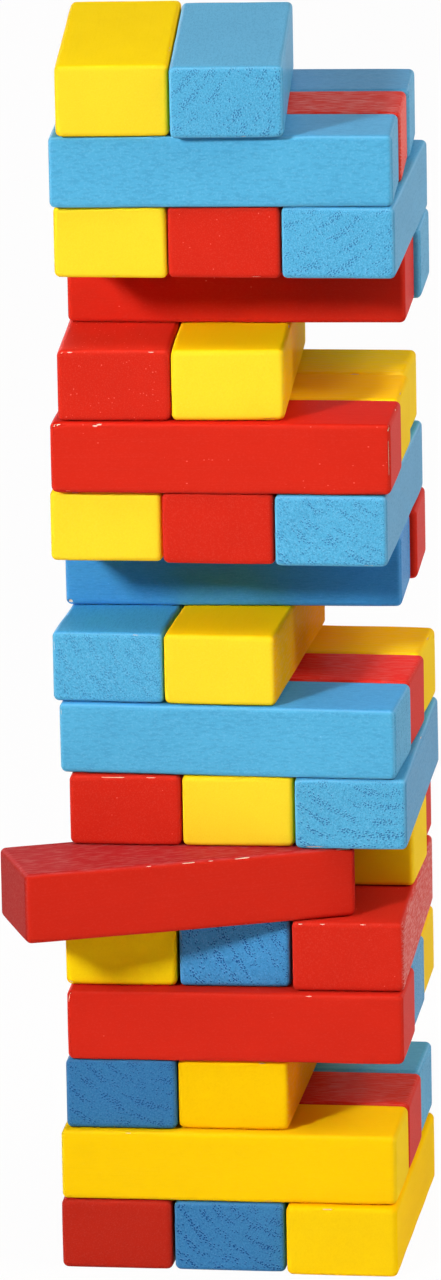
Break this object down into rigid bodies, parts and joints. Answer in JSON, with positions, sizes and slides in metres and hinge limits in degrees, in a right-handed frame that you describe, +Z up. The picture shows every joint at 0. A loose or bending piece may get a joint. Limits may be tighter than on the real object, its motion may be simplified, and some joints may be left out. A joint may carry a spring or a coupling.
{
  "type": "tumbling tower game",
  "caption": "Tumbling tower of red, yellow and blue wooden blocks stacked crosswise, in mid-play: empty lanes, a swivelled block and an unfinished top layer.",
  "frame": {"origin": "on the table, under the middle of the lowest layer", "axes": "+Z up, +X to the right and -Y towards the player; the lowest layer stands square to the axes"},
  "size_m": [0.0902, 0.1055, 0.2719],
  "materials": {
    "red_paint": "satin red paint on wood",
    "yellow_paint": "satin yellow paint on wood",
    "blue_paint": "satin blue paint on wood, with open end grain"
  },
  "bodies": {
    "layer01_left_red": {"layer01_left_red": "red_paint"},
    "layer01_middle_blue": {"layer01_middle_blue": "blue_paint"},
    "layer01_right_yellow": {"layer01_right_yellow": "yellow_paint"},
    "layer02_front_yellow": {"layer02_front_yellow": "yellow_paint"},
    "layer02_middle_red": {"layer02_middle_red": "red_paint"},
    "layer02_back_blue": {"layer02_back_blue": "blue_paint"},
    "layer03_left_blue": {"layer03_left_blue": "blue_paint"},
    "layer03_middle_yellow": {"layer03_middle_yellow": "yellow_paint"},
    "layer04_front_red": {"layer04_front_red": "red_paint"},
    "layer04_middle_blue": {"layer04_middle_blue": "blue_paint"},
    "layer04_back_yellow": {"layer04_back_yellow": "yellow_paint"},
    "layer05_left_yellow": {"layer05_left_yellow": "yellow_paint"},
    "layer05_middle_blue": {"layer05_middle_blue": "blue_paint"},
    "layer05_right_red": {"layer05_right_red": "red_paint"},
    "layer06_front_red": {"layer06_front_red": "red_paint"},
    "layer06_middle_yellow": {"layer06_middle_yellow": "yellow_paint"},
    "layer06_back_red": {"layer06_back_red": "red_paint"},
    "layer07_left_red": {"layer07_left_red": "red_paint"},
    "layer07_middle_yellow": {"layer07_middle_yellow": "yellow_paint"},
    "layer07_right_blue": {"layer07_right_blue": "blue_paint"},
    "layer08_front_blue": {"layer08_front_blue": "blue_paint"},
    "layer08_middle_red": {"layer08_middle_red": "red_paint"},
    "layer08_back_yellow": {"layer08_back_yellow": "yellow_paint"},
    "layer09_left_blue": {"layer09_left_blue": "blue_paint"},
    "layer09_middle_yellow": {"layer09_middle_yellow": "yellow_paint"},
    "layer10_middle_blue": {"layer10_middle_blue": "blue_paint"},
    "layer10_back_red": {"layer10_back_red": "red_paint"},
    "layer11_left_yellow": {"layer11_left_yellow": "yellow_paint"},
    "layer11_middle_red": {"layer11_middle_red": "red_paint"},
    "layer11_right_blue": {"layer11_right_blue": "blue_paint"},
    "layer12_front_red": {"layer12_front_red": "red_paint"},
    "layer12_middle_yellow": {"layer12_middle_yellow": "yellow_paint"},
    "layer12_back_yellow": {"layer12_back_yellow": "yellow_paint"},
    "layer13_left_red": {"layer13_left_red": "red_paint"},
    "layer13_middle_yellow": {"layer13_middle_yellow": "yellow_paint"},
    "layer14_middle_red": {"layer14_middle_red": "red_paint"},
    "layer14_back_blue": {"layer14_back_blue": "blue_paint"},
    "layer15_left_yellow": {"layer15_left_yellow": "yellow_paint"},
    "layer15_middle_red": {"layer15_middle_red": "red_paint"},
    "layer15_right_blue": {"layer15_right_blue": "blue_paint"},
    "layer16_front_blue": {"layer16_front_blue": "blue_paint"},
    "layer16_middle_red": {"layer16_middle_red": "red_paint"},
    "layer16_back_blue": {"layer16_back_blue": "blue_paint"},
    "layer17_left_yellow": {"layer17_left_yellow": "yellow_paint"},
    "layer17_middle_blue": {"layer17_middle_blue": "blue_paint"}
  },
  "joints": [
    {"name": "layer01_left_red_slide", "type": "slide", "parent": "layer01_middle_blue", "child": "layer01_left_red", "axis": [0, 1, 0], "range_m": [-0.08, 0.08]},
    {"name": "layer01_right_yellow_slide", "type": "slide", "parent": "layer01_middle_blue", "child": "layer01_right_yellow", "axis": [0, 1, 0], "range_m": [-0.08, 0.08]},
    {"name": "layer02_front_yellow_slide", "type": "slide", "parent": "layer01_middle_blue", "child": "layer02_front_yellow", "axis": [1, 0, 0], "range_m": [-0.08, 0.08]},
    {"name": "layer02_middle_red_slide", "type": "slide", "parent": "layer01_middle_blue", "child": "layer02_middle_red", "axis": [1, 0, 0], "range_m": [-0.08, 0.08]},
    {"name": "layer02_back_blue_slide", "type": "slide", "parent": "layer01_middle_blue", "child": "layer02_back_blue", "axis": [1, 0, 0], "range_m": [-0.08, 0.08]},
    {"name": "layer03_left_blue_slide", "type": "slide", "parent": "layer01_middle_blue", "child": "layer03_left_blue", "axis": [0, 1, 0], "range_m": [-0.08, 0.08]},
    {"name": "layer03_middle_yellow_slide", "type": "slide", "parent": "layer01_middle_blue", "child": "layer03_middle_yellow", "axis": [0, 1, 0], "range_m": [-0.08, 0.08]},
    {"name": "layer04_front_red_slide", "type": "slide", "parent": "layer01_middle_blue", "child": "layer04_front_red", "axis": [1, 0.0087, 0], "range_m": [-0.08, 0.08]},
    {"name": "layer04_middle_blue_slide", "type": "slide", "parent": "layer01_middle_blue", "child": "layer04_middle_blue", "axis": [1, 0.0087, 0], "range_m": [-0.08, 0.08]},
    {"name": "layer04_back_yellow_slide", "type": "slide", "parent": "layer01_middle_blue", "child": "layer04_back_yellow", "axis": [1, 0.0087, 0], "range_m": [-0.08, 0.08]},
    {"name": "layer05_left_yellow_slide", "type": "slide", "parent": "layer01_middle_blue", "child": "layer05_left_yellow", "axis": [-0.0262, 0.9997, 0], "range_m": [-0.08, 0.08]},
    {"name": "layer05_middle_blue_slide", "type": "slide", "parent": "layer01_middle_blue", "child": "layer05_middle_blue", "axis": [-0.0262, 0.9997, 0], "range_m": [-0.08, 0.08]},
    {"name": "layer05_right_red_slide", "type": "slide", "parent": "layer01_middle_blue", "child": "layer05_right_red", "axis": [-0.0262, 0.9997, 0], "range_m": [-0.08, 0.08]},
    {"name": "layer06_front_red_pull", "type": "slide", "parent": "layer01_middle_blue", "child": "layer06_front_red", "axis": [-0.9272, -0.3746, 0], "range_m": [-0.003, 0.08]},
    {"name": "layer06_middle_yellow_slide", "type": "slide", "parent": "layer01_middle_blue", "child": "layer06_middle_yellow", "axis": [1, -0.0087, 0], "range_m": [-0.08, 0.08]},
    {"name": "layer06_back_red_slide", "type": "slide", "parent": "layer01_middle_blue", "child": "layer06_back_red", "axis": [1, -0.0087, 0], "range_m": [-0.08, 0.08]},
    {"name": "layer07_left_red_slide", "type": "slide", "parent": "layer01_middle_blue", "child": "layer07_left_red", "axis": [-0.0175, 0.9998, 0], "range_m": [-0.08, 0.08]},
    {"name": "layer07_middle_yellow_slide", "type": "slide", "parent": "layer01_middle_blue", "child": "layer07_middle_yellow", "axis": [-0.0175, 0.9998, 0], "range_m": [-0.08, 0.08]},
    {"name": "layer07_right_blue_slide", "type": "slide", "parent": "layer01_middle_blue", "child": "layer07_right_blue", "axis": [-0.0175, 0.9998, 0], "range_m": [-0.08, 0.08]},
    {"name": "layer08_front_blue_slide", "type": "slide", "parent": "layer01_middle_blue", "child": "layer08_front_blue", "axis": [0.9997, -0.0262, 0], "range_m": [-0.08, 0.08]},
    {"name": "layer08_middle_red_slide", "type": "slide", "parent": "layer01_middle_blue", "child": "layer08_middle_red", "axis": [0.9997, -0.0262, 0], "range_m": [-0.08, 0.08]},
    {"name": "layer08_back_yellow_slide", "type": "slide", "parent": "layer01_middle_blue", "child": "layer08_back_yellow", "axis": [0.9997, -0.0262, 0], "range_m": [-0.08, 0.08]},
    {"name": "layer09_left_blue_slide", "type": "slide", "parent": "layer01_middle_blue", "child": "layer09_left_blue", "axis": [0.0262, 0.9997, 0], "range_m": [-0.08, 0.08]},
    {"name": "layer09_middle_yellow_slide", "type": "slide", "parent": "layer01_middle_blue", "child": "layer09_middle_yellow", "axis": [0.0262, 0.9997, 0], "range_m": [-0.08, 0.08]},
    {"name": "layer10_middle_blue_slide", "type": "slide", "parent": "layer01_middle_blue", "child": "layer10_middle_blue", "axis": [0.9994, 0.0349, 0], "range_m": [-0.08, 0.08]},
    {"name": "layer10_back_red_slide", "type": "slide", "parent": "layer01_middle_blue", "child": "layer10_back_red", "axis": [0.9994, 0.0349, 0], "range_m": [-0.08, 0.08]},
    {"name": "layer11_left_yellow_slide", "type": "slide", "parent": "layer01_middle_blue", "child": "layer11_left_yellow", "axis": [-0.0087, 1, 0], "range_m": [-0.08, 0.08]},
    {"name": "layer11_middle_red_slide", "type": "slide", "parent": "layer01_middle_blue", "child": "layer11_middle_red", "axis": [-0.0087, 1, 0], "range_m": [-0.08, 0.08]},
    {"name": "layer11_right_blue_slide", "type": "slide", "parent": "layer01_middle_blue", "child": "layer11_right_blue", "axis": [-0.0087, 1, 0], "range_m": [-0.08, 0.08]},
    {"name": "layer12_front_red_slide", "type": "slide", "parent": "layer01_middle_blue", "child": "layer12_front_red", "axis": [0.9998, 0.0175, 0], "range_m": [-0.08, 0.08]},
    {"name": "layer12_middle_yellow_slide", "type": "slide", "parent": "layer01_middle_blue", "child": "layer12_middle_yellow", "axis": [0.9998, 0.0175, 0], "range_m": [-0.08, 0.08]},
    {"name": "layer12_back_yellow_slide", "type": "slide", "parent": "layer01_middle_blue", "child": "layer12_back_yellow", "axis": [0.9998, 0.0175, 0], "range_m": [-0.08, 0.08]},
    {"name": "layer13_left_red_slide", "type": "slide", "parent": "layer01_middle_blue", "child": "layer13_left_red", "axis": [-0.061, 0.9981, 0], "range_m": [-0.08, 0.08]},
    {"name": "layer13_middle_yellow_slide", "type": "slide", "parent": "layer01_middle_blue", "child": "layer13_middle_yellow", "axis": [-0.061, 0.9981, 0], "range_m": [-0.08, 0.08]},
    {"name": "layer14_middle_red_slide", "type": "slide", "parent": "layer01_middle_blue", "child": "layer14_middle_red", "axis": [0.9994, 0.0349, 0], "range_m": [-0.08, 0.08]},
    {"name": "layer14_back_blue_slide", "type": "slide", "parent": "layer01_middle_blue", "child": "layer14_back_blue", "axis": [0.9994, 0.0349, 0], "range_m": [-0.08, 0.08]},
    {"name": "layer15_left_yellow_slide", "type": "slide", "parent": "layer01_middle_blue", "child": "layer15_left_yellow", "axis": [-0.0175, 0.9998, 0], "range_m": [-0.08, 0.08]},
    {"name": "layer15_middle_red_slide", "type": "slide", "parent": "layer01_middle_blue", "child": "layer15_middle_red", "axis": [-0.0175, 0.9998, 0], "range_m": [-0.08, 0.08]},
    {"name": "layer15_right_blue_slide", "type": "slide", "parent": "layer01_middle_blue", "child": "layer15_right_blue", "axis": [-0.0175, 0.9998, 0], "range_m": [-0.08, 0.08]},
    {"name": "layer16_front_blue_slide", "type": "slide", "parent": "layer01_middle_blue", "child": "layer16_front_blue", "axis": [0.9981, 0.061, 0], "range_m": [-0.08, 0.08]},
    {"name": "layer16_middle_red_slide", "type": "slide", "parent": "layer01_middle_blue", "child": "layer16_middle_red", "axis": [0.9981, 0.061, 0], "range_m": [-0.08, 0.08]},
    {"name": "layer16_back_blue_slide", "type": "slide", "parent": "layer01_middle_blue", "child": "layer16_back_blue", "axis": [0.9981, 0.061, 0], "range_m": [-0.08, 0.08]},
    {"name": "layer17_left_yellow_lift", "type": "slide", "parent": "layer01_middle_blue", "child": "layer17_left_yellow", "axis": [0, 0, 1], "range_m": [0, 0.06]},
    {"name": "layer17_middle_blue_lift", "type": "slide", "parent": "layer01_middle_blue", "child": "layer17_middle_blue", "axis": [0, 0, 1], "range_m": [0, 0.06]}
  ]
}
